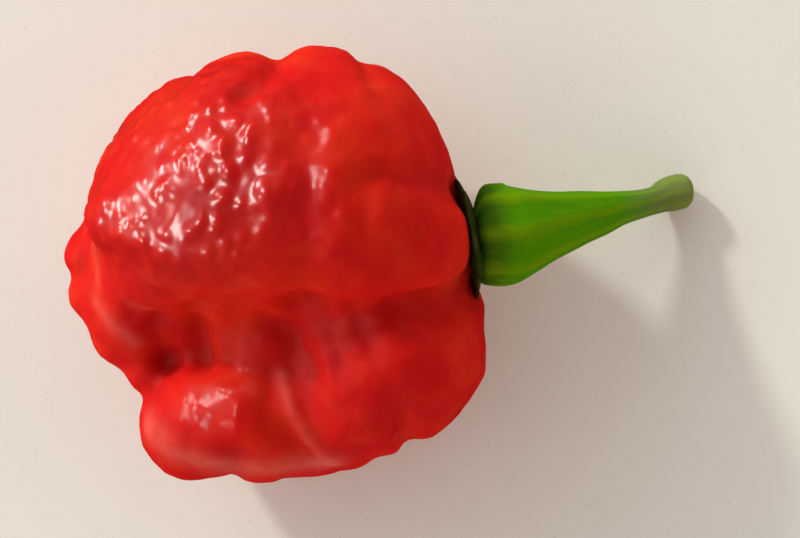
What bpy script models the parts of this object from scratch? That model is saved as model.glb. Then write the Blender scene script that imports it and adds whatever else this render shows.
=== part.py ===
"""Chilli pepper of the lumpy scorpion-pod kind, lying on its side: a pod, its calyx and its stem.

Run it with blender --background --python part.py, or from Blender's text editor.
The model is in metres with +Z up. +X runs from the pod's blossom end towards the stem's tip. The
origin is on the surface that the pepper lies on, under the middle of its bounding box.
"""

import math

import bmesh
import bpy
import numpy as np
from mathutils import Matrix, Vector, noise
from mathutils.bvhtree import BVHTree

MM = 0.001

# Driving dimensions, in millimetres.
POD_VOXEL = 0.55  # grain of the surface that joins the lobes
POD_SMOOTHING = 20  # passes that round the creases where lobes meet
POD_TRIANGLES = 10500
SEAT_GAP = 0.3  # clearance between touching pieces

# The bulges that the pod has swelled into: centre and half-sizes in millimetres, turn in degrees.
LOBES = {
    "far lobe at the blossom end": ((-15.5, 7.6, 17.5), (15.9, 12.4, 16.8), 39),
    "its brow over the valley": ((-18.5, 4.6, 26.6), (10.3, 6.0, 6.6), 0),
    "body under it": ((-17.5, 2.0, 13.5), (14.4, 11.0, 11.0), 0),
    "step under its brow": ((-21.5, -1.4, 17.0), (8.6, 4.8, 9.4), 0),
    "bridge between the far lobes": ((-11.8, 7.3, 17.5), (9.6, 13.7, 16.4), 0),
    "far lobe at the stem end": ((-5.1, 7.2, 17.0), (15.1, 11.8, 15.8), 107),
    "its brow over the valley, too": ((-4.4, 3.2, 22.0), (9.6, 6.6, 9.8), 0),
    "shoulder over the calyx": ((1.9, 2.2, 21.0), (6.2, 6.3, 8.0), 0),
    "near lobe at the stem end": ((-0.9, -8.9, 14.0), (11.3, 10.3, 12.2), 40),
    "its shoulder at the calyx": ((3.2, -4.6, 14.5), (6.6, 5.6, 8.6), 0),
    "its root at the calyx": ((3.2, -0.8, 15.5), (5.7, 5.4, 7.0), 0),
    "its rim over the blossom end": ((-4.6, -11.0, 13.6), (6.2, 9.9, 10.9), 0),
    "near lobe at the blossom end": ((-14.6, -14.6, 12.4), (10.4, 7.9, 11.4), 0),
    "its back in the valley": ((-12.6, -8.4, 13.0), (6.2, 6.0, 9.6), 0),
    "its tail": ((-20.0, -16.3, 12.3), (5.8, 5.9, 9.2), 0),
    "its root under the rim": ((-9.0, -13.0, 12.0), (9.0, 9.0, 10.5), 0),
    "floor of the valley": ((-10.5, -3.8, 13.0), (16.0, 10.4, 9.8), 0),
    "puckered blossom end": ((-24.5, -3.0, 14.0), (7.0, 7.4, 9.5), 0),
    "first knob": ((-30.2, 1.0, 15.0), (3.0, 3.0, 4.6), 0),
    "second knob": ((-30.0, -2.9, 14.5), (3.0, 2.8, 4.6), 0),
    "third knob": ((-26.8, -7.2, 14.0), (3.8, 3.4, 5.4), 0),
    "fourth knob": ((-24.4, -10.4, 13.5), (2.9, 3.1, 5.0), 0),
    "belly at the blossom end": ((-16.5, 4.5, 11.5), (11.0, 9.5, 11.8), 0),
    "belly at the stem end": ((-3.5, 4.5, 11.5), (9.0, 9.5, 12.2), 0),
    "near belly": ((-8.5, -8.0, 10.8), (11.5, 8.5, 11.2), 0),
    "belly that it rests on": ((-9.8, 0.4, 9.6), (13.0, 11.5, 10.9), 0),
}

# Furrows (negative) and ridges (positive), in millimetres: height, half-width, and the points that
# the line runs through, as it is seen from that side.
STROKES = {
    "above": (
        # The long valley between the far and the near lobes, and its branch.
        (-1.1, 2.0, ((9.5, -2.8), (6.1, -3.4), (1.0, -4.0), (-3.6, -4.7), (-8.2, -4.3))),
        (-0.8, 2.2, ((-8.2, -4.1), (-11.9, -3.8), (-15.6, -4.1), (-20.7, -4.9), (-25.0, -5.8))),
        (-0.9, 1.3, ((-12.0, -5.4), (-9.6, -6.8), (-8.2, -8.6), (-7.2, -10.6))),
        # The fold between the near lobes, and its bright rim.
        (-0.6, 1.7, ((-11.8, -11.4), (-11.4, -14.2), (-10.0, -17.2), (-8.2, -19.6))),
        (0.65, 0.8, ((-10.4, -10.8), (-9.9, -13.2), (-8.8, -15.6), (-7.6, -17.6), (-5.9, -19.8))),
        # The two pits at the blossom end.
        (-1.7, 1.5, ((-19.0, -5.0), (-18.8, -7.4), (-18.3, -9.6))),
        (-1.2, 1.4, ((-22.8, -6.4), (-22.4, -9.6))),
        # Where the two far lobes meet.
        (-1.0, 1.1, ((-10.4, 21.5), (-10.6, 19.5), (-12.0, 17.2), (-13.4, 15.6))),
        (-0.15, 1.2, ((-13.4, 14.0), (-13.8, 9.0), (-13.2, 3.0))),
        (0.2, 1.2, ((-10.8, 15.0), (-10.3, 9.0), (-10.5, 4.0))),
        (0.3, 1.5, ((-8.6, 19.5), (-8.4, 12.0), (-8.4, 2.0))),
        # The edge of the brow.
        (0.45, 1.7, ((-24.0, 2.0), (-20.0, 0.9), (-16.0, 0.6), (-12.5, 1.2))),
        # Ribs across the far lobe at the stem end.
        (0.15, 1.6, ((-5.9, 15.0), (-5.8, 11.5), (-5.9, 8.0))),
        (-0.4, 1.4, ((-2.4, 8.0), (-2.2, 4.0), (-2.0, 0.5))),
        # The crease round the shoulder.
        (-0.9, 1.3, ((8.0, 7.4), (6.1, 7.8), (3.8, 8.1), (1.0, 8.2), (-1.4, 8.4))),
        # Wrinkles that run down the near lobe from the valley.
        (-0.45, 1.0, ((-5.8, -6.2), (-5.0, -8.2), (-4.8, -10.2))),
        (-0.45, 1.0, ((-3.2, -5.0), (-2.2, -7.0), (-1.7, -9.0))),
        (-0.4, 1.0, ((0.2, -4.2), (1.2, -6.0), (2.0, -7.6))),
        (-0.45, 1.0, ((3.4, -3.4), (4.6, -5.4))),
    ),
    "the far side": (
        (-1.1, 1.5, ((-11.0, 22.0), (-11.2, 18.0), (-10.2, 11.0), (-11.0, 3.0))),
        (-0.9, 1.4, ((-20.5, 27.0), (-19.2, 19.0), (-20.4, 9.0))),
        (-0.8, 1.3, ((-1.8, 26.0), (-2.8, 17.0), (-1.2, 8.0))),
        (-0.7, 1.2, ((-26.0, 15.0), (-20.4, 13.0), (-15.0, 14.5))),
        (-0.7, 1.2, ((-7.6, 12.5), (-3.0, 11.0), (3.0, 13.0))),
    ),
    "the near side": (
        (-0.9, 1.3, ((1.0, 24.0), (2.4, 16.0), (1.2, 7.0))),
        (-0.8, 1.3, ((-15.0, 22.0), (-16.2, 14.0), (-14.6, 5.0))),
        (-0.8, 1.2, ((-22.0, 9.5), (-16.0, 8.5), (-10.0, 10.0))),
        (-0.6, 1.2, ((-3.0, 13.0), (2.0, 11.5), (7.5, 12.5))),
    ),
    "below": (
        (-1.2, 1.6, ((-26.0, -3.0), (-21.0, -5.0), (-17.0, -8.5))),
        (-1.2, 1.6, ((-9.6, 16.0), (-10.2, 11.5), (-9.0, 8.5))),
        (-1.0, 1.5, ((0.5, 0.5), (4.0, 1.0), (8.0, 0.0))),
    ),
}
# The calyx: a dished disc with small teeth, in millimetres and degrees.
CALYX_CENTRE = (8.1, 3.0, 17.5)
CALYX_HEADING = 11.0
CALYX_DROOP = 4.0
CALYX_RADIUS = 5.8
CALYX_THICKNESS = 1.4
CALYX_DISH = 0.35  # how far its rim bends towards the pod
TOOTH_LENGTH = 1.2
TOOTH_COUNT = 5

# The stem, in millimetres: its centre line from the calyx to the tip, and its radius there.
STEM_STATIONS = (
    ((9.15, 3.05, 17.4), 4.7),
    ((9.7, 3.05, 17.35), 4.95),
    ((10.5, 3.08, 17.15), 5.05),
    ((11.7, 3.1, 16.7), 5.05),
    ((13.3, 3.4, 15.7), 4.5),
    ((15.5, 3.9, 14.0), 3.78),
    ((17.7, 4.4, 12.1), 3.25),
    ((20.0, 5.0, 10.2), 2.8),
    ((22.3, 5.5, 8.5), 2.35),
    ((24.6, 6.1, 6.8), 1.85),
    ((27.0, 6.6, 5.1), 1.55),
    ((29.0, 7.15, 3.5), 1.52),
    ((30.3, 7.7, 2.6), 1.86),
    ((31.8, 8.1, 2.02), 1.95),
    ((33.25, 8.3, 1.75), 1.65),
)
STEM_RIBS = 8
STEM_RIB_DEPTH = 0.03  # as a share of the radius


def clear_scene():
    """Removes whatever the scene held before."""
    for obj in list(bpy.data.objects):
        bpy.data.objects.remove(obj, do_unlink=True)


def make_collection(name):
    collection = bpy.data.collections.new(name)
    bpy.context.scene.collection.children.link(collection)
    return collection


def make_material(name, colour, roughness):
    material = bpy.data.materials.new(name)
    material.use_nodes = True
    shader = material.node_tree.nodes["Principled BSDF"]
    shader.inputs["Base Color"].default_value = (*colour, 1.0)
    shader.inputs["Roughness"].default_value = roughness
    shader.inputs["Metallic"].default_value = 0.0
    return material


def settle(obj):
    """Gives an object the mesh that its modifiers make, and removes them."""
    graph = bpy.context.evaluated_depsgraph_get()
    mesh = bpy.data.meshes.new_from_object(obj.evaluated_get(graph))
    obj.modifiers.clear()
    obj.data = mesh


def object_of(name, shape, collection):
    """A new object with the faces that a bmesh holds."""
    mesh = bpy.data.meshes.new(name)
    shape.to_mesh(mesh)
    shape.free()
    obj = bpy.data.objects.new(name, mesh)
    collection.objects.link(obj)
    return obj


def finish_piece(obj, material):
    obj.data.materials.clear()
    obj.data.materials.append(material)
    obj.data.shade_smooth()


def add_lobes(name, collection):
    """One object that holds an ellipsoid for each lobe."""
    spheres = bmesh.new()
    for centre, half_sizes, turn in LOBES.values():
        size = Matrix.Diagonal((*(Vector(half_sizes) * MM), 1.0))
        turned = Matrix.Rotation(math.radians(turn), 4, "Z")
        place = Matrix.Translation(Vector(centre) * MM)
        bmesh.ops.create_icosphere(spheres, subdivisions=5, radius=1.0, matrix=place @ turned @ size)
    return object_of(name, spheres, collection)


def fuse(obj, voxel, smoothing):
    """Joins what an object holds into one even skin, and rounds its creases."""
    remesh = obj.modifiers.new("join", "REMESH")
    remesh.mode = "VOXEL"
    remesh.voxel_size = voxel * MM
    smooth = obj.modifiers.new("round the creases", "SMOOTH")
    smooth.iterations = smoothing
    smooth.factor = 0.5
    settle(obj)


def skin_points(obj):
    """Where the vertices are, in millimetres, and which way the skin faces there."""
    count = len(obj.data.vertices)
    points = np.empty(count * 3)
    normals = np.empty(count * 3)
    obj.data.vertices.foreach_get("co", points)
    obj.data.vertices.foreach_get("normal", normals)
    return points.reshape(-1, 3) / MM, normals.reshape(-1, 3)


def move_skin(obj, points):
    obj.data.vertices.foreach_set("co", (points * MM).ravel())
    obj.data.update()


def laid_on_skin(tree, side, line, step=0.5):
    """Points along a line drawn on one side's view, laid on the skin behind it."""
    far_off = 80
    views = {
        "above": (lambda a, b: Vector((a, b, far_off)), Vector((0, 0, -1))),
        "below": (lambda a, b: Vector((a, b, -far_off)), Vector((0, 0, 1))),
        "the far side": (lambda a, b: Vector((a, far_off, b)), Vector((0, -1, 0))),
        "the near side": (lambda a, b: Vector((a, -far_off, b)), Vector((0, 1, 0))),
    }
    eye, ahead = views[side]
    laid = []
    for start, end in zip(line, line[1:]):
        start, end = Vector(start), Vector(end)
        pieces = max(1, round((end - start).length / step))
        for k in range(pieces):
            hit = tree.ray_cast(eye(*start.lerp(end, k / pieces)) * MM, ahead)[0]
            if hit:
                laid.append(hit / MM)
    return laid


def draw_strokes(obj):
    """Presses the furrows into the skin and raises the ridges."""
    tree = BVHTree.FromObject(obj, bpy.context.evaluated_depsgraph_get())
    points, normals = skin_points(obj)
    rise = np.zeros(len(points))
    for side, strokes in STROKES.items():
        for height, half_width, line in strokes:
            nearest = np.full(len(points), 1e9)
            for spot in laid_on_skin(tree, side, line):
                nearest = np.minimum(nearest, ((points - np.array(spot)) ** 2).sum(axis=1))
            rise += height * np.exp(-nearest / half_width**2)
    move_skin(obj, points + normals * rise[:, None])


def add_relief(obj):
    """Raises the lumps that the skin has all over."""
    points, normals = skin_points(obj)
    lumps = [noise.noise(Vector(p) / 4.5) for p in points]
    blisters = [noise.noise(Vector(p) / 2.2) for p in points]
    rise = 0.3 * np.array(lumps) + 0.16 * np.array(blisters)
    move_skin(obj, points + normals * rise[:, None])


def make_pod(collection, seat_cutter):
    pod = add_lobes("pod", collection)
    fuse(pod, POD_VOXEL, POD_SMOOTHING)
    draw_strokes(pod)
    fuse(pod, POD_VOXEL, 2)
    add_relief(pod)
    points, _ = skin_points(pod)
    points[:, 2] = np.maximum(points[:, 2], 0.0)
    move_skin(pod, points)
    decimate = pod.modifiers.new("fewer faces", "DECIMATE")
    triangles = sum(len(p.vertices) - 2 for p in pod.data.polygons)
    decimate.ratio = min(1.0, POD_TRIANGLES / triangles)
    decimate.use_collapse_triangulate = True
    seat = pod.modifiers.new("seat of the calyx", "BOOLEAN")
    seat.object = seat_cutter
    seat.operation = "DIFFERENCE"
    seat.solver = "EXACT"
    finish_piece(pod, make_material("pod_skin", (0.72, 0.02, 0.015), 0.28))
    return pod


def calyx_shape(name, collection, growth):
    """The calyx disc, made larger all round by growth."""
    disc = bmesh.new()
    bmesh.ops.create_uvsphere(disc, u_segments=60, v_segments=14, radius=1.0)
    for vertex in disc.verts:
        around = math.atan2(vertex.co.y, vertex.co.x)
        tooth = max(0.0, math.cos(TOOTH_COUNT * around)) ** 4
        reach = CALYX_RADIUS + TOOTH_LENGTH * tooth + growth
        out = math.hypot(vertex.co.x, vertex.co.y)
        vertex.co.x *= reach
        vertex.co.y *= reach
        vertex.co.z = math.copysign(abs(vertex.co.z) ** 0.5, vertex.co.z)
        vertex.co.z *= CALYX_THICKNESS / 2 * (1 - 0.65 * out**4) + growth
        vertex.co.z -= CALYX_DISH * out**2
    tilt = Matrix.Rotation(math.radians(90 + CALYX_DROOP), 4, "Y")
    heading = Matrix.Rotation(math.radians(CALYX_HEADING), 4, "Z")
    place = Matrix.Translation(Vector(CALYX_CENTRE))
    disc.transform(Matrix.Scale(MM, 4) @ place @ heading @ tilt)
    return object_of(name, disc, collection)


def make_calyx(collection):
    calyx = calyx_shape("calyx", collection, 0.0)
    finish_piece(calyx, make_material("calyx_skin", (0.06, 0.09, 0.02), 0.5))
    return calyx


def stem_at(share):
    """Centre, heading and radius of the stem at a share of its length."""
    spot = share * (len(STEM_STATIONS) - 1)
    k = min(int(spot), len(STEM_STATIONS) - 2)
    t = spot - k
    last = len(STEM_STATIONS) - 1
    near = [STEM_STATIONS[min(max(k + j, 0), last)] for j in (-1, 0, 1, 2)]
    weights = (
        -0.5 * t + t * t - 0.5 * t**3,
        1 - 2.5 * t * t + 1.5 * t**3,
        0.5 * t + 2 * t * t - 1.5 * t**3,
        -0.5 * t * t + 0.5 * t**3,
    )
    centre = sum((Vector(s[0]) * w for s, w in zip(near, weights)), Vector())
    radius = sum(s[1] * w for s, w in zip(near, weights))
    return centre, radius


def make_stem(collection):
    """The stem: a sphere drawn out along the centre line, with its ribs."""
    body = bmesh.new()
    bmesh.ops.create_uvsphere(body, u_segments=48, v_segments=44, radius=1.0)
    for vertex in body.verts:
        polar = math.acos(max(-1.0, min(1.0, vertex.co.z)))
        share = polar / math.pi
        around = math.atan2(vertex.co.y, vertex.co.x)
        centre, radius = stem_at(share)
        ahead = stem_at(min(1.0, share + 0.01))[0] - stem_at(max(0.0, share - 0.01))[0]
        ahead.normalize()
        side = Vector((0, 0, 1)).cross(ahead).normalized()
        up = ahead.cross(side)
        cap = min(1.0, math.sin(polar) * 6.0)
        closing = math.sqrt(1 - (1 - cap) ** 2)
        rib = 1 + STEM_RIB_DEPTH * math.cos(STEM_RIBS * (around - math.pi / 2)) * (1 - share)
        reach = radius * rib * closing
        vertex.co = (centre + (side * math.cos(around) + up * math.sin(around)) * reach) * MM
    bmesh.ops.recalc_face_normals(body, faces=body.faces)
    stem = object_of("stem", body, collection)
    finish_piece(stem, make_material("stem_skin", (0.05, 0.16, 0.015), 0.4))
    return stem


def main():
    clear_scene()
    pepper = make_collection("chilli_pepper")
    cutters = make_collection("cutters")
    cutters.hide_render = True
    seat_cutter = calyx_shape("seat cutter", cutters, SEAT_GAP)
    seat_cutter.display_type = "WIRE"
    seat_cutter.hide_render = True
    make_pod(pepper, seat_cutter)
    make_calyx(pepper)
    make_stem(pepper)


main()
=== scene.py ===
"""Chilli pepper of the lumpy scorpion-pod kind, lying on a pale surface and seen from straight above.

The pod, the calyx and the stem are made again here from the part's own dimensions, with a finer skin,
and stand for the part's solids. All tables are in millimetres; the objects are in metres.
"""

import math

import bmesh
import bpy
import numpy as np
from mathutils import Matrix, Vector, noise
from mathutils.bvhtree import BVHTree


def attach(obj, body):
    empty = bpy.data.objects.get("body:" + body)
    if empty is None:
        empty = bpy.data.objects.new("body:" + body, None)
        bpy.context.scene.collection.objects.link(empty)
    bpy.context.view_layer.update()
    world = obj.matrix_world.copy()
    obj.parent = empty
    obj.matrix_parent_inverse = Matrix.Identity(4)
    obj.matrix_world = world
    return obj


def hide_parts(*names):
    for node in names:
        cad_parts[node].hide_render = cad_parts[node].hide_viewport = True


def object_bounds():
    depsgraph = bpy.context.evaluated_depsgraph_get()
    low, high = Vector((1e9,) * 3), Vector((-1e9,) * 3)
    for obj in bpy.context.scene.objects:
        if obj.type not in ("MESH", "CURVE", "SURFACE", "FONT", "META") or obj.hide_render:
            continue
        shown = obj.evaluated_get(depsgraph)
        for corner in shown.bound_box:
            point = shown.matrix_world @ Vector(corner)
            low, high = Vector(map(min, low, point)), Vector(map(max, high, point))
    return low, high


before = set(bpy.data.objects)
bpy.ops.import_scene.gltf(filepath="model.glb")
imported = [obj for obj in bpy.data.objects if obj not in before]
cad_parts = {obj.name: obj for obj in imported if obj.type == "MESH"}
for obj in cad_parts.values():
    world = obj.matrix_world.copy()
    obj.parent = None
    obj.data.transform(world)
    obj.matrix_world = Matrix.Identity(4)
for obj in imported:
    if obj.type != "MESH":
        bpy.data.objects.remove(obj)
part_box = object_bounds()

MM = 0.001
BODY = "root"
STEM_LET_IN = 0.9  # how far the stem's base reaches into the calyx, in millimetres

# The pod's skin, in millimetres.
POD_VOXEL = 0.30  # grain of the surface that joins the lobes
POD_SMOOTHING = 67  # passes that round the creases where lobes meet
STROKE_SMOOTHING = 13  # passes that round the furrows
BLISTER_HEIGHT = 0.15
BLISTER_CELL = (1.4, 1.75, 1.5)  # how far apart the blisters are along each axis

# How blistered the skin is, besides the level that it has everywhere: where, how far round, how much.
BLISTER_LEVEL = 0.22
BLISTERED_PLACES = (
    ((-20.5, 8.5, 27.0), 12.0, 0.8),
    ((-14.0, 8.5, 33.0), 7.0, 0.5),
    ((-17.5, -13.5, 23.5), 4.5, 0.38),
)

# Painted sheen and highlights: pale pink streaks along folds and rims where these catch a grazing reflection and the
# light, seen from above: strength, half-width, and the points on them.
PAINTED_SHEEN_LINES = (
    (1.0, 1.5, ((-24.0, -16.0), (-21.0, -18.8), (-15.0, -20.3), (-9.4, -20.0), (-5.0, -19.8))),
    (0.8, 0.6, ((-10.4, -10.8), (-9.9, -13.2), (-8.8, -15.6), (-7.6, -17.6), (-5.9, -19.8))),
    (0.7, 0.8, ((-28.8, -3.6), (-27.0, -6.0), (-24.4, -8.0))),
    (0.6, 0.7, ((-24.8, -3.8), (-22.6, -4.4))),
    (0.6, 0.9, ((-28.6, 2.5), (-28.4, -2.0))),
    (0.5, 0.8, ((-17.4, -12.4), (-16.4, -13.6))),
    (0.4, 0.7, ((-13.6, -11.6), (-13.0, -12.4))),
)

# The bulges that the pod has swelled into: centre and half-sizes in millimetres, turn in degrees.
LOBES = {
    "far lobe at the blossom end": ((-15.5, 7.6, 17.5), (15.9, 12.4, 16.8), 39),
    "its brow over the valley": ((-18.5, 4.6, 26.6), (10.3, 6.0, 6.6), 0),
    "body under it": ((-17.5, 2.0, 13.5), (14.4, 11.0, 11.0), 0),
    "step under its brow": ((-21.5, -1.4, 17.0), (8.6, 4.8, 9.4), 0),
    "bridge between the far lobes": ((-11.8, 7.3, 17.5), (9.6, 13.7, 16.4), 0),
    "far lobe at the stem end": ((-5.1, 7.2, 17.0), (15.1, 11.8, 15.8), 107),
    "its brow over the valley, too": ((-4.4, 3.2, 22.0), (9.6, 6.6, 9.8), 0),
    "shoulder over the calyx": ((1.9, 2.2, 21.0), (6.2, 6.3, 8.0), 0),
    "near lobe at the stem end": ((-0.9, -8.9, 14.0), (11.3, 10.3, 12.2), 40),
    "its shoulder at the calyx": ((3.2, -4.6, 14.5), (6.6, 5.6, 8.6), 0),
    "its root at the calyx": ((3.2, -0.8, 15.5), (5.7, 5.4, 7.0), 0),
    "its rim over the blossom end": ((-4.6, -11.0, 13.6), (6.2, 9.9, 10.9), 0),
    "near lobe at the blossom end": ((-14.6, -14.6, 12.4), (10.4, 7.9, 11.4), 0),
    "its back in the valley": ((-12.6, -8.4, 13.0), (6.2, 6.0, 9.6), 0),
    "its tail": ((-20.0, -16.3, 12.3), (5.8, 5.9, 9.2), 0),
    "its root under the rim": ((-9.0, -13.0, 12.0), (9.0, 9.0, 10.5), 0),
    "floor of the valley": ((-10.5, -3.8, 13.0), (16.0, 10.4, 9.8), 0),
    "puckered blossom end": ((-24.5, -3.0, 14.0), (7.0, 7.4, 9.5), 0),
    "first knob": ((-30.2, 1.0, 15.0), (3.0, 3.0, 4.6), 0),
    "second knob": ((-30.0, -2.9, 14.5), (3.0, 2.8, 4.6), 0),
    "third knob": ((-26.8, -7.2, 14.0), (3.8, 3.4, 5.4), 0),
    "fourth knob": ((-24.4, -10.4, 13.5), (2.9, 3.1, 5.0), 0),
    "belly at the blossom end": ((-16.5, 4.5, 11.5), (11.0, 9.5, 11.8), 0),
    "belly at the stem end": ((-3.5, 4.5, 11.5), (9.0, 9.5, 12.2), 0),
    "near belly": ((-8.5, -8.0, 10.8), (11.5, 8.5, 11.2), 0),
    "belly that it rests on": ((-9.8, 0.4, 9.6), (13.0, 11.5, 10.9), 0),
}

# Furrows (negative) and ridges (positive), in millimetres: height, half-width, and the points that
# the line runs through, as it is seen from that side.
STROKES = {
    "above": (
        # The long valley between the far and the near lobes, and its branch.
        (-1.1, 2.0, ((9.5, -2.8), (6.1, -3.4), (1.0, -4.0), (-3.6, -4.7), (-8.2, -4.3))),
        (-0.8, 2.2, ((-8.2, -4.1), (-11.9, -3.8), (-15.6, -4.1), (-20.7, -4.9), (-25.0, -5.8))),
        (-0.9, 1.3, ((-12.0, -5.4), (-9.6, -6.8), (-8.2, -8.6), (-7.2, -10.6))),
        # The fold between the near lobes, and its bright rim.
        (-0.6, 1.7, ((-11.8, -11.4), (-11.4, -14.2), (-10.0, -17.2), (-8.2, -19.6))),
        (0.65, 0.8, ((-10.4, -10.8), (-9.9, -13.2), (-8.8, -15.6), (-7.6, -17.6), (-5.9, -19.8))),
        # The two pits at the blossom end.
        (-1.7, 1.5, ((-19.0, -5.0), (-18.8, -7.4), (-18.3, -9.6))),
        (-1.2, 1.4, ((-22.8, -6.4), (-22.4, -9.6))),
        # Where the two far lobes meet.
        (-1.0, 1.1, ((-10.4, 21.5), (-10.6, 19.5), (-12.0, 17.2), (-13.4, 15.6))),
        (-0.15, 1.2, ((-13.4, 14.0), (-13.8, 9.0), (-13.2, 3.0))),
        (0.2, 1.2, ((-10.8, 15.0), (-10.3, 9.0), (-10.5, 4.0))),
        (0.3, 1.5, ((-8.6, 19.5), (-8.4, 12.0), (-8.4, 2.0))),
        # The edge of the brow.
        (0.45, 1.7, ((-24.0, 2.0), (-20.0, 0.9), (-16.0, 0.6), (-12.5, 1.2))),
        # Ribs across the far lobe at the stem end.
        (0.15, 1.6, ((-5.9, 15.0), (-5.8, 11.5), (-5.9, 8.0))),
        (-0.4, 1.4, ((-2.4, 8.0), (-2.2, 4.0), (-2.0, 0.5))),
        # The crease round the shoulder.
        (-0.9, 1.3, ((8.0, 7.4), (6.1, 7.8), (3.8, 8.1), (1.0, 8.2), (-1.4, 8.4))),
        # Wrinkles that run down the near lobe from the valley.
        (-0.45, 1.0, ((-5.8, -6.2), (-5.0, -8.2), (-4.8, -10.2))),
        (-0.45, 1.0, ((-3.2, -5.0), (-2.2, -7.0), (-1.7, -9.0))),
        (-0.4, 1.0, ((0.2, -4.2), (1.2, -6.0), (2.0, -7.6))),
        (-0.45, 1.0, ((3.4, -3.4), (4.6, -5.4))),
    ),
    "the far side": (
        (-1.1, 1.5, ((-11.0, 22.0), (-11.2, 18.0), (-10.2, 11.0), (-11.0, 3.0))),
        (-0.9, 1.4, ((-20.5, 27.0), (-19.2, 19.0), (-20.4, 9.0))),
        (-0.8, 1.3, ((-1.8, 26.0), (-2.8, 17.0), (-1.2, 8.0))),
        (-0.7, 1.2, ((-26.0, 15.0), (-20.4, 13.0), (-15.0, 14.5))),
        (-0.7, 1.2, ((-7.6, 12.5), (-3.0, 11.0), (3.0, 13.0))),
    ),
    "the near side": (
        (-0.9, 1.3, ((1.0, 24.0), (2.4, 16.0), (1.2, 7.0))),
        (-0.8, 1.3, ((-15.0, 22.0), (-16.2, 14.0), (-14.6, 5.0))),
        (-0.8, 1.2, ((-22.0, 9.5), (-16.0, 8.5), (-10.0, 10.0))),
        (-0.6, 1.2, ((-3.0, 13.0), (2.0, 11.5), (7.5, 12.5))),
    ),
    "below": (
        (-1.2, 1.6, ((-26.0, -3.0), (-21.0, -5.0), (-17.0, -8.5))),
        (-1.2, 1.6, ((-9.6, 16.0), (-10.2, 11.5), (-9.0, 8.5))),
        (-1.0, 1.5, ((0.5, 0.5), (4.0, 1.0), (8.0, 0.0))),
    ),
}
# The calyx: a dished disc with small teeth, in millimetres and degrees.
CALYX_CENTRE = (8.1, 3.0, 17.5)
CALYX_HEADING = 11.0
CALYX_DROOP = 4.0
CALYX_RADIUS = 5.8
CALYX_THICKNESS = 1.4
CALYX_DISH = 0.35  # how far its rim bends towards the pod
TOOTH_LENGTH = 1.2
TOOTH_COUNT = 5

# The stem, in millimetres: its centre line from the calyx to the tip, and its radius there.
STEM_STATIONS = (
    ((9.15, 3.05, 17.4), 4.7),
    ((9.7, 3.05, 17.35), 4.95),
    ((10.5, 3.08, 17.15), 5.05),
    ((11.7, 3.1, 16.7), 5.05),
    ((13.3, 3.4, 15.7), 4.5),
    ((15.5, 3.9, 14.0), 3.78),
    ((17.7, 4.4, 12.1), 3.25),
    ((20.0, 5.0, 10.2), 2.8),
    ((22.3, 5.5, 8.5), 2.35),
    ((24.6, 6.1, 6.8), 1.85),
    ((27.0, 6.6, 5.1), 1.55),
    ((29.0, 7.15, 3.5), 1.52),
    ((30.3, 7.7, 2.6), 1.86),
    ((31.8, 8.1, 2.02), 1.95),
    ((33.25, 8.3, 1.75), 1.65),
)
STEM_RIBS = 8
STEM_RIB_DEPTH = 0.03  # as a share of the radius

# The view: straight down from this point in millimetres, with this lens on a 36 mm wide sensor.
CAMERA_PLACE = (1.05, -0.4, 180.0)
CAMERA_LENS = 72.9

# The light: a compact lamp, low at the upper left of the view, and a pale room round it.
LAMP_FROM = (-0.77, 0.68, 0.49)
LAMP_STRENGTH = 1.66
LAMP_ANGLE = 5.5  # degrees across
# The bulbs that the blisters reflect.
BULBS_FROM = (
    (-0.62, 0.45, 0.85),
    (-0.85, 0.25, 0.4),
    (-0.35, 0.75, 0.6),
    (-0.2, 0.1, 1.0),
    (-0.5, -0.45, 0.85),
    (-0.9, -0.1, 0.5),
)
BULB_DISTANCE = 0.6
BULB_SIZE = 0.13
BULB_POWER = 1.5
ROOM_STRENGTH = 2.65
ROOM_BRIGHT_SIDE = (-0.92, 0.4, 0.0)
# How bright the room is from its dim side, 0, to its bright side, 1.
ROOM_ROUND = (
    (0.0, (0.35, 0.25, 0.225)),
    (0.5, (0.42, 0.335, 0.305)),
    (0.75, (0.60, 0.58, 0.56)),
    (1.0, (0.90, 0.90, 0.88)),
)
# How bright it is from the floor's level up to overhead.
ROOM_UPWARDS = (
    (0.0, (1.0, 1.0, 1.0)),
    (0.5, (1.0, 1.0, 1.0)),
    (0.72, (0.5, 0.5, 0.5)),
    (0.88, (0.16, 0.16, 0.16)),
    (1.0, (0.1, 0.1, 0.1)),
)


def settle(obj):
    """Gives an object the mesh that its modifiers make, and removes them."""
    graph = bpy.context.evaluated_depsgraph_get()
    mesh = bpy.data.meshes.new_from_object(obj.evaluated_get(graph))
    obj.modifiers.clear()
    obj.data = mesh


def object_of(name, shape):
    """A new object with the faces that a bmesh holds."""
    mesh = bpy.data.meshes.new(name)
    shape.to_mesh(mesh)
    shape.free()
    obj = bpy.data.objects.new(name, mesh)
    bpy.context.scene.collection.objects.link(obj)
    return obj


def add_lobes(name):
    """One object that holds an ellipsoid for each lobe."""
    spheres = bmesh.new()
    for centre, half_sizes, turn in LOBES.values():
        size = Matrix.Diagonal((*(Vector(half_sizes) * MM), 1.0))
        turned = Matrix.Rotation(math.radians(turn), 4, "Z")
        place = Matrix.Translation(Vector(centre) * MM)
        bmesh.ops.create_icosphere(spheres, subdivisions=5, radius=1.0, matrix=place @ turned @ size)
    return object_of(name, spheres)


def fuse(obj, voxel, smoothing):
    """Joins what an object holds into one even skin, and rounds its creases."""
    remesh = obj.modifiers.new("join", "REMESH")
    remesh.mode = "VOXEL"
    remesh.voxel_size = voxel * MM
    smooth = obj.modifiers.new("round the creases", "SMOOTH")
    smooth.iterations = smoothing
    smooth.factor = 0.5
    settle(obj)


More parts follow.
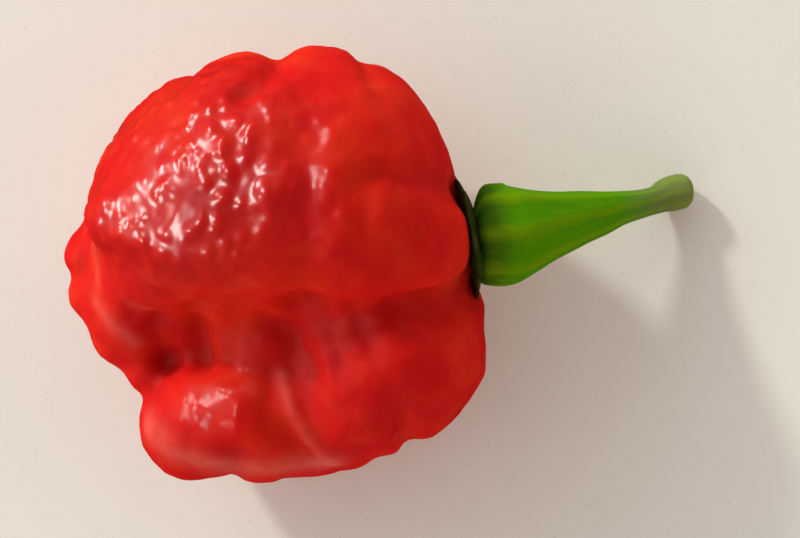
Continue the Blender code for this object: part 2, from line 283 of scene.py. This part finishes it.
def skin_points(obj):
    """Where the vertices are, in millimetres, and which way the skin faces there."""
    count = len(obj.data.vertices)
    points = np.empty(count * 3)
    normals = np.empty(count * 3)
    obj.data.vertices.foreach_get("co", points)
    obj.data.vertices.foreach_get("normal", normals)
    return points.reshape(-1, 3) / MM, normals.reshape(-1, 3)


def move_skin(obj, points):
    obj.data.vertices.foreach_set("co", (points * MM).ravel())
    obj.data.update()


def laid_on_skin(tree, side, line, step=0.5):
    """Points along a line drawn on one side's view, laid on the skin behind it."""
    far_off = 80
    views = {
        "above": (lambda a, b: Vector((a, b, far_off)), Vector((0, 0, -1))),
        "below": (lambda a, b: Vector((a, b, -far_off)), Vector((0, 0, 1))),
        "the far side": (lambda a, b: Vector((a, far_off, b)), Vector((0, -1, 0))),
        "the near side": (lambda a, b: Vector((a, -far_off, b)), Vector((0, 1, 0))),
    }
    eye, ahead = views[side]
    laid = []
    for start, end in zip(line, line[1:]):
        start, end = Vector(start), Vector(end)
        pieces = max(1, round((end - start).length / step))
        for k in range(pieces):
            hit = tree.ray_cast(eye(*start.lerp(end, k / pieces)) * MM, ahead)[0]
            if hit:
                laid.append(hit / MM)
    return laid


def drawn(obj, points, strokes_by_side):
    """What the strokes add up to at each point of the skin."""
    tree = BVHTree.FromObject(obj, bpy.context.evaluated_depsgraph_get())
    total = np.zeros(len(points))
    for side, strokes in strokes_by_side.items():
        for strength, half_width, line in strokes:
            nearest = np.full(len(points), 1e9)
            for spot in laid_on_skin(tree, side, line):
                nearest = np.minimum(nearest, ((points - np.array(spot)) ** 2).sum(axis=1))
            total += strength * np.exp(-nearest / half_width**2)
    return total


def draw_strokes(obj):
    """Presses the furrows into the skin and raises the ridges."""
    points, normals = skin_points(obj)
    move_skin(obj, points + normals * drawn(obj, points, STROKES)[:, None])


def add_relief(obj):
    """Raises the lumps that the skin has all over."""
    points, normals = skin_points(obj)
    lumps = [noise.noise(Vector(p) / 4.5) for p in points]
    blisters = [noise.noise(Vector(p) / 2.2) for p in points]
    rise = 0.3 * np.array(lumps) + 0.16 * np.array(blisters)
    move_skin(obj, points + normals * rise[:, None])


def blister_at(point):
    """How high the skin is: -1 between blisters, and 1 on top of one."""
    place = Vector(p / cell for p, cell in zip(point, BLISTER_CELL))
    place += 0.25 * noise.noise_vector(place * 0.6)
    nearest = noise.voronoi(place)[0]
    return 1 - 2 * math.prod(1 - math.exp(-((distance / 0.4) ** 2)) for distance in nearest)


def add_blisters(obj):
    points, normals = skin_points(obj)
    pattern = np.array([blister_at(p) for p in points])
    level = np.full(len(points), BLISTER_LEVEL)
    for place, radius, more in BLISTERED_PLACES:
        distance = ((points - np.array(place)) ** 2).sum(axis=1)
        level += more * np.exp(-distance / radius**2)
    patches = np.array([noise.noise(Vector(p) / 6.0 + Vector((31, 7, 2))) for p in points])
    level *= 1 + 0.5 * patches
    rise = BLISTER_HEIGHT * level * pattern
    move_skin(obj, points + normals * rise[:, None])
    note_on_mesh(obj, "blister", level * pattern)
    note_on_mesh(obj, "blistered", level)
    # Where the skin gets its painted sheen and highlights along rims and folds.
    note_on_mesh(obj, "pale", drawn(obj, points, {"above": PAINTED_SHEEN_LINES}))


def note_on_mesh(obj, name, values):
    """Keeps a number for each vertex, which a material reads."""
    attribute = obj.data.attributes.new(name, "FLOAT", "POINT")
    attribute.data.foreach_set("value", np.asarray(values, dtype=np.float32))


def make_pod():
    pod = add_lobes("pepper_pod")
    fuse(pod, POD_VOXEL, POD_SMOOTHING)
    draw_strokes(pod)
    fuse(pod, POD_VOXEL, STROKE_SMOOTHING)
    add_relief(pod)
    add_blisters(pod)
    points, _ = skin_points(pod)
    points[:, 2] = np.maximum(points[:, 2], 0.0)
    move_skin(pod, points)
    return pod


def calyx_shape(name):
    disc = bmesh.new()
    bmesh.ops.create_uvsphere(disc, u_segments=120, v_segments=28, radius=1.0)
    for vertex in disc.verts:
        around = math.atan2(vertex.co.y, vertex.co.x)
        tooth = max(0.0, math.cos(TOOTH_COUNT * around)) ** 4
        reach = CALYX_RADIUS + TOOTH_LENGTH * tooth
        out = math.hypot(vertex.co.x, vertex.co.y)
        vertex.co.x *= reach
        vertex.co.y *= reach
        vertex.co.z = math.copysign(abs(vertex.co.z) ** 0.5, vertex.co.z)
        vertex.co.z *= CALYX_THICKNESS / 2 * (1 - 0.65 * out**4)
        vertex.co.z -= CALYX_DISH * out**2
    tilt = Matrix.Rotation(math.radians(90 + CALYX_DROOP), 4, "Y")
    heading = Matrix.Rotation(math.radians(CALYX_HEADING), 4, "Z")
    place = Matrix.Translation(Vector(CALYX_CENTRE))
    disc.transform(Matrix.Scale(MM, 4) @ place @ heading @ tilt)
    return object_of(name, disc)


def stem_at(share):
    """Centre and radius of the stem at a share of its length."""
    spot = share * (len(STEM_STATIONS) - 1)
    k = min(int(spot), len(STEM_STATIONS) - 2)
    t = spot - k
    last = len(STEM_STATIONS) - 1
    near = [STEM_STATIONS[min(max(k + j, 0), last)] for j in (-1, 0, 1, 2)]
    weights = (
        -0.5 * t + t * t - 0.5 * t**3,
        1 - 2.5 * t * t + 1.5 * t**3,
        0.5 * t + 2 * t * t - 1.5 * t**3,
        -0.5 * t * t + 0.5 * t**3,
    )
    centre = sum((Vector(s[0]) * w for s, w in zip(near, weights)), Vector())
    radius = sum(s[1] * w for s, w in zip(near, weights))
    return centre, radius


def make_stem():
    """The stem: a sphere drawn out along the centre line, with its ribs."""
    body = bmesh.new()
    bmesh.ops.create_uvsphere(body, u_segments=160, v_segments=240, radius=1.0)
    along, ridges, grain = [], [], []
    for vertex in body.verts:
        polar = math.acos(max(-1.0, min(1.0, vertex.co.z)))
        share = polar / math.pi
        around = math.atan2(vertex.co.y, vertex.co.x)
        centre, radius = stem_at(share)
        ahead = stem_at(min(1.0, share + 0.01))[0] - stem_at(max(0.0, share - 0.01))[0]
        ahead.normalize()
        side = Vector((0, 0, 1)).cross(ahead).normalized()
        up = ahead.cross(side)
        cap = min(1.0, math.sin(polar) * 6.0)
        closing = math.sqrt(1 - (1 - cap) ** 2)
        centre -= ahead * STEM_LET_IN * max(0.0, 1 - share / 0.05)
        ridge = math.cos(STEM_RIBS * (around - math.pi / 2))
        rib = 1 + STEM_RIB_DEPTH * ridge * (1 - share)
        streaks = Vector((math.cos(around) * 2.2, math.sin(around) * 2.2, share * 2.5))
        fine = 0.012 * noise.noise(streaks * 3.0) * (1 - 0.5 * share)
        reach = radius * (rib + fine) * closing
        vertex.co = (centre + (side * math.cos(around) + up * math.sin(around)) * reach) * MM
        along.append(share)
        ridges.append(ridge)
        grain.append(streaks)
    bmesh.ops.recalc_face_normals(body, faces=body.faces)
    stem = object_of("pepper_stem", body)
    note_on_mesh(stem, "along", along)
    note_on_mesh(stem, "ridge", ridges)
    attribute = stem.data.attributes.new("grain", "FLOAT_VECTOR", "POINT")
    attribute.data.foreach_set("vector", np.array(grain, dtype=np.float32).ravel())
    return stem


class Nodes:
    """The nodes of a material or of the room, added by type and joined by name."""

    def __init__(self, owner):
        self.tree = owner.node_tree
        self.shader = self.tree.nodes.get("Principled BSDF")

    def add(self, kind, **settings):
        node = self.tree.nodes.new("ShaderNode" + kind)
        for key, value in settings.items():
            setattr(node, key, value)
        return node

    def join(self, output, target):
        self.tree.links.new(output, target)

    def attribute(self, name, output="Fac"):
        return self.add("Attribute", attribute_name=name).outputs[output]

    def noise(self, scale, detail=3.0, roughness=0.55, place=None):
        node = self.add("TexNoise")
        node.inputs["Scale"].default_value = scale
        node.inputs["Detail"].default_value = detail
        node.inputs["Roughness"].default_value = roughness
        self.join(place or self.object_place(), node.inputs["Vector"])
        return node.outputs["Fac"]

    def object_place(self):
        return self.add("TexCoord").outputs["Object"]

    def ramp(self, value, stops):
        node = self.add("ValToRGB")
        marks = node.color_ramp.elements
        while len(marks) < len(stops):
            marks.new(0.5)
        for mark, (position, colour) in zip(marks, stops):
            mark.position = position
            mark.color = (*colour, 1.0)
        self.join(value, node.inputs["Fac"])
        return node.outputs["Color"]

    def scaled(self, value, low, high, to_low=0.0, to_high=1.0):
        node = self.add("MapRange")
        for key, number in zip(("From Min", "From Max", "To Min", "To Max"), (low, high, to_low, to_high)):
            node.inputs[key].default_value = number
        self.join(value, node.inputs["Value"])
        return node.outputs["Result"]

    def mixed(self, share, first, second, blend="MIX"):
        node = self.add("Mix", data_type="RGBA", blend_type=blend)
        for value, socket in ((share, node.inputs[0]), (first, node.inputs[6]), (second, node.inputs[7])):
            if isinstance(value, bpy.types.NodeSocket):
                self.join(value, socket)
            elif isinstance(value, tuple):
                socket.default_value = (*value, 1.0)
            else:
                socket.default_value = value
        return node.outputs[2]

    def bump(self, height, strength, distance):
        node = self.add("Bump")
        node.inputs["Strength"].default_value = strength
        node.inputs["Distance"].default_value = distance
        self.join(height, node.inputs["Height"])
        self.join(node.outputs["Normal"], self.shader.inputs["Normal"])


def new_material(name):
    material = bpy.data.materials.new(name)
    material.use_nodes = True
    return material


def pod_material():
    material = new_material("red_skin")
    nodes = Nodes(material)
    patches = nodes.noise(110.0, detail=2.0)
    skin = nodes.ramp(
        patches, ((0.32, (0.52, 0.006, 0.007)), (0.5, (0.59, 0.009, 0.008)), (0.7, (0.65, 0.022, 0.008)))
    )
    orange = nodes.scaled(nodes.noise(300.0, detail=3.0), 0.48, 0.72, 0.0, 0.3)
    tinted = nodes.mixed(orange, skin, (0.74, 0.055, 0.02))
    # Painted light and shade that follow the relief: the blister tops a brighter red, the creases between them darker.
    painted_light_on_blister_tops = nodes.scaled(nodes.attribute("blister"), -0.5, 0.7, 0.0, 0.25)
    blistered = nodes.mixed(painted_light_on_blister_tops, tinted, (0.72, 0.016, 0.006))
    # Painted sheen and highlights: the pale pink streaks along rims and folds, broken by a grain.
    grainy = nodes.ramp(nodes.noise(420.0, detail=3.0), ((0.3, (0.4,) * 3), (0.7, (1.0,) * 3)))
    pale = nodes.mixed(1.0, nodes.attribute("pale", "Color"), grainy, "MULTIPLY")
    skin_with_painted_sheen = nodes.mixed(nodes.scaled(pale, 0.0, 1.0, 0.0, 0.8), blistered, (0.66, 0.12, 0.09))
    nodes.join(skin_with_painted_sheen, nodes.shader.inputs["Base Color"])
    nodes.join(nodes.scaled(nodes.attribute("blistered"), 0.38, 0.8), nodes.shader.inputs["Coat Weight"])
    fine = nodes.noise(1600.0, detail=2.0)
    nodes.bump(fine, 0.25, 0.0001)
    values = nodes.shader.inputs
    values["Roughness"].default_value = 0.45
    values["Specular IOR Level"].default_value = 0.03
    values["Coat Roughness"].default_value = 0.23
    values["Subsurface Weight"].default_value = 0.6
    values["Subsurface Radius"].default_value = (1.0, 0.15, 0.08)
    values["Subsurface Scale"].default_value = 0.003
    return material


def stem_material():
    material = new_material("green_stem_skin")
    nodes = Nodes(material)
    along = nodes.attribute("along")
    grain = nodes.attribute("grain", "Vector")
    # Darker green towards the base: partly painted shade where the stem meets the calyx, partly the stem's own darker
    # green there. Paler towards the broken tip.
    length = nodes.ramp(
        along,
        (
            (0.0, (0.04, 0.11, 0.004)),
            (0.08, (0.05, 0.15, 0.004)),
            (0.2, (0.075, 0.28, 0.001)),
            (0.6, (0.068, 0.28, 0.002)),
            (0.78, (0.14, 0.20, 0.06)),
            (1.0, (0.20, 0.25, 0.08)),
        ),
    )
    # Lighter yellow-green along the rib ridges: partly painted highlight on the ribs, partly the stem's own striping.
    rib_ridge_painted_highlight = nodes.scaled(nodes.attribute("ridge"), -0.2, 1.0, 0.0, 0.4)
    stem_with_ridge_highlights = nodes.mixed(rib_ridge_painted_highlight, length, (0.19, 0.34, 0.001))
    streaks = nodes.noise(2.2, detail=4.0, place=grain)
    lighter = nodes.scaled(streaks, 0.5, 0.75, 0.0, 0.5)
    colour = nodes.mixed(lighter, stem_with_ridge_highlights, (0.18, 0.30, 0.004))
    nodes.join(colour, nodes.shader.inputs["Base Color"])
    nodes.bump(nodes.noise(9.0, detail=3.0, place=grain), 0.3, 0.0002)
    nodes.shader.inputs["Roughness"].default_value = 0.75
    nodes.shader.inputs["Specular IOR Level"].default_value = 0.01
    nodes.shader.inputs["Subsurface Weight"].default_value = 0.08
    nodes.shader.inputs["Subsurface Radius"].default_value = (0.4, 1.0, 0.2)
    nodes.shader.inputs["Subsurface Scale"].default_value = 0.001
    return material


def calyx_material():
    material = new_material("olive_calyx_skin")
    nodes = Nodes(material)
    patches = nodes.noise(700.0)
    skin = nodes.ramp(patches, ((0.35, (0.02, 0.035, 0.004)), (0.6, (0.035, 0.06, 0.008)), (0.75, (0.09, 0.10, 0.03))))
    nodes.join(skin, nodes.shader.inputs["Base Color"])
    nodes.bump(nodes.noise(2500.0), 0.4, 0.0001)
    nodes.shader.inputs["Roughness"].default_value = 0.6
    nodes.shader.inputs["Specular IOR Level"].default_value = 0.02
    return material


def floor_material():
    material = new_material("floor_paint")
    nodes = Nodes(material)
    mottled = nodes.noise(30.0, detail=4.0)
    base = nodes.ramp(mottled, ((0.3, (0.79, 0.82, 0.76)), (0.7, (0.83, 0.86, 0.805))))
    specks = nodes.noise(2600.0, detail=1.0)
    share = nodes.scaled(specks, 0.70, 0.76, 0.0, 0.35)
    colour = nodes.mixed(share, base, (0.45, 0.36, 0.28))
    nodes.join(colour, nodes.shader.inputs["Base Color"])
    nodes.bump(nodes.noise(1500.0), 0.15, 0.0001)
    nodes.shader.inputs["Roughness"].default_value = 0.6
    nodes.shader.inputs["Specular IOR Level"].default_value = 0.2
    return material


def dress(obj, material, node):
    """Gives a piece its material and smooth shading, hangs it on the body, and hides the part's solid that it stands
    for.
    """
    obj.data.materials.clear()
    obj.data.materials.append(material)
    obj.data.shade_smooth()
    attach(obj, BODY)
    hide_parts(node)


def add_floor():
    shape = bmesh.new()
    bmesh.ops.create_grid(shape, x_segments=2, y_segments=2, size=1.5)
    floor = object_of("floor", shape)
    floor.data.materials.append(floor_material())
    floor.visible_glossy = False


def facing(direction):
    """The turn that makes a lamp or a camera look along a direction."""
    return Vector(direction).to_track_quat("-Z", "Y").to_euler()


def add_lights():
    lamp = bpy.data.objects.new("lamp", bpy.data.lights.new("lamp", "SUN"))
    lamp.data.energy = LAMP_STRENGTH
    lamp.data.angle = math.radians(LAMP_ANGLE)
    lamp.data.color = (1.0, 0.95, 0.88)
    lamp.rotation_euler = facing(-Vector(LAMP_FROM))
    lamp.visible_glossy = False
    bpy.context.scene.collection.objects.link(lamp)
    for place in BULBS_FROM:
        bulb = bpy.data.objects.new("bulb", bpy.data.lights.new("bulb", "AREA"))
        bulb.data.energy = BULB_POWER
        bulb.data.size = BULB_SIZE
        bulb.data.color = (1.0, 0.96, 0.92)
        bulb.location = Vector(place).normalized() * BULB_DISTANCE
        bulb.rotation_euler = facing(-Vector(place))
        bulb.visible_diffuse = False
        bpy.context.scene.collection.objects.link(bulb)
    world = bpy.data.worlds.new("room")
    world.use_nodes = True
    nodes = Nodes(world)
    background = nodes.tree.nodes["Background"]
    background.inputs["Strength"].default_value = ROOM_STRENGTH
    place = nodes.add("TexCoord").outputs["Generated"]
    upwards = nodes.add("SeparateXYZ")
    nodes.join(place, upwards.inputs["Vector"])
    side = nodes.add("VectorMath", operation="DOT_PRODUCT")
    side.inputs[1].default_value = ROOM_BRIGHT_SIDE
    nodes.join(place, side.inputs[0])
    share = nodes.scaled(side.outputs["Value"], -1.0, 1.0)
    round_about = nodes.ramp(share, ROOM_ROUND)
    overhead = nodes.ramp(upwards.outputs["Z"], ROOM_UPWARDS)
    nodes.join(nodes.mixed(1.0, round_about, overhead, "MULTIPLY"), background.inputs["Color"])
    world.cycles_visibility.glossy = False
    bpy.context.scene.world = world


def add_camera():
    camera = bpy.data.objects.new("camera", bpy.data.cameras.new("camera"))
    camera.data.lens = CAMERA_LENS
    camera.data.sensor_width = 36.0
    camera.data.clip_start = 0.01
    camera.location = Vector(CAMERA_PLACE) * MM
    bpy.context.scene.collection.objects.link(camera)
    bpy.context.scene.camera = camera
    bpy.context.scene.view_settings.view_transform = "Standard"


def keep_inside(pieces, box):
    """Draws the pieces in by the little that their finer skin reaches out of a box, in metres."""
    box_low, box_high = np.array([list(corner) for corner in box]) / MM
    skins = [skin_points(piece)[0] for piece in pieces]
    low = np.min([skin.min(axis=0) for skin in skins], axis=0)
    high = np.max([skin.max(axis=0) for skin in skins], axis=0)
    new_low = np.maximum(low, box_low)
    shrink = (np.minimum(high, box_high) - new_low) / (high - low)
    for piece, skin in zip(pieces, skins):
        move_skin(piece, new_low + (skin - low) * shrink)


def main():
    pod, calyx, stem = make_pod(), calyx_shape("pepper_calyx"), make_stem()
    keep_inside((pod, calyx, stem), part_box)
    dress(pod, pod_material(), "pod")
    dress(calyx, calyx_material(), "calyx")
    dress(stem, stem_material(), "stem")
    add_floor()
    add_lights()
    add_camera()


main()
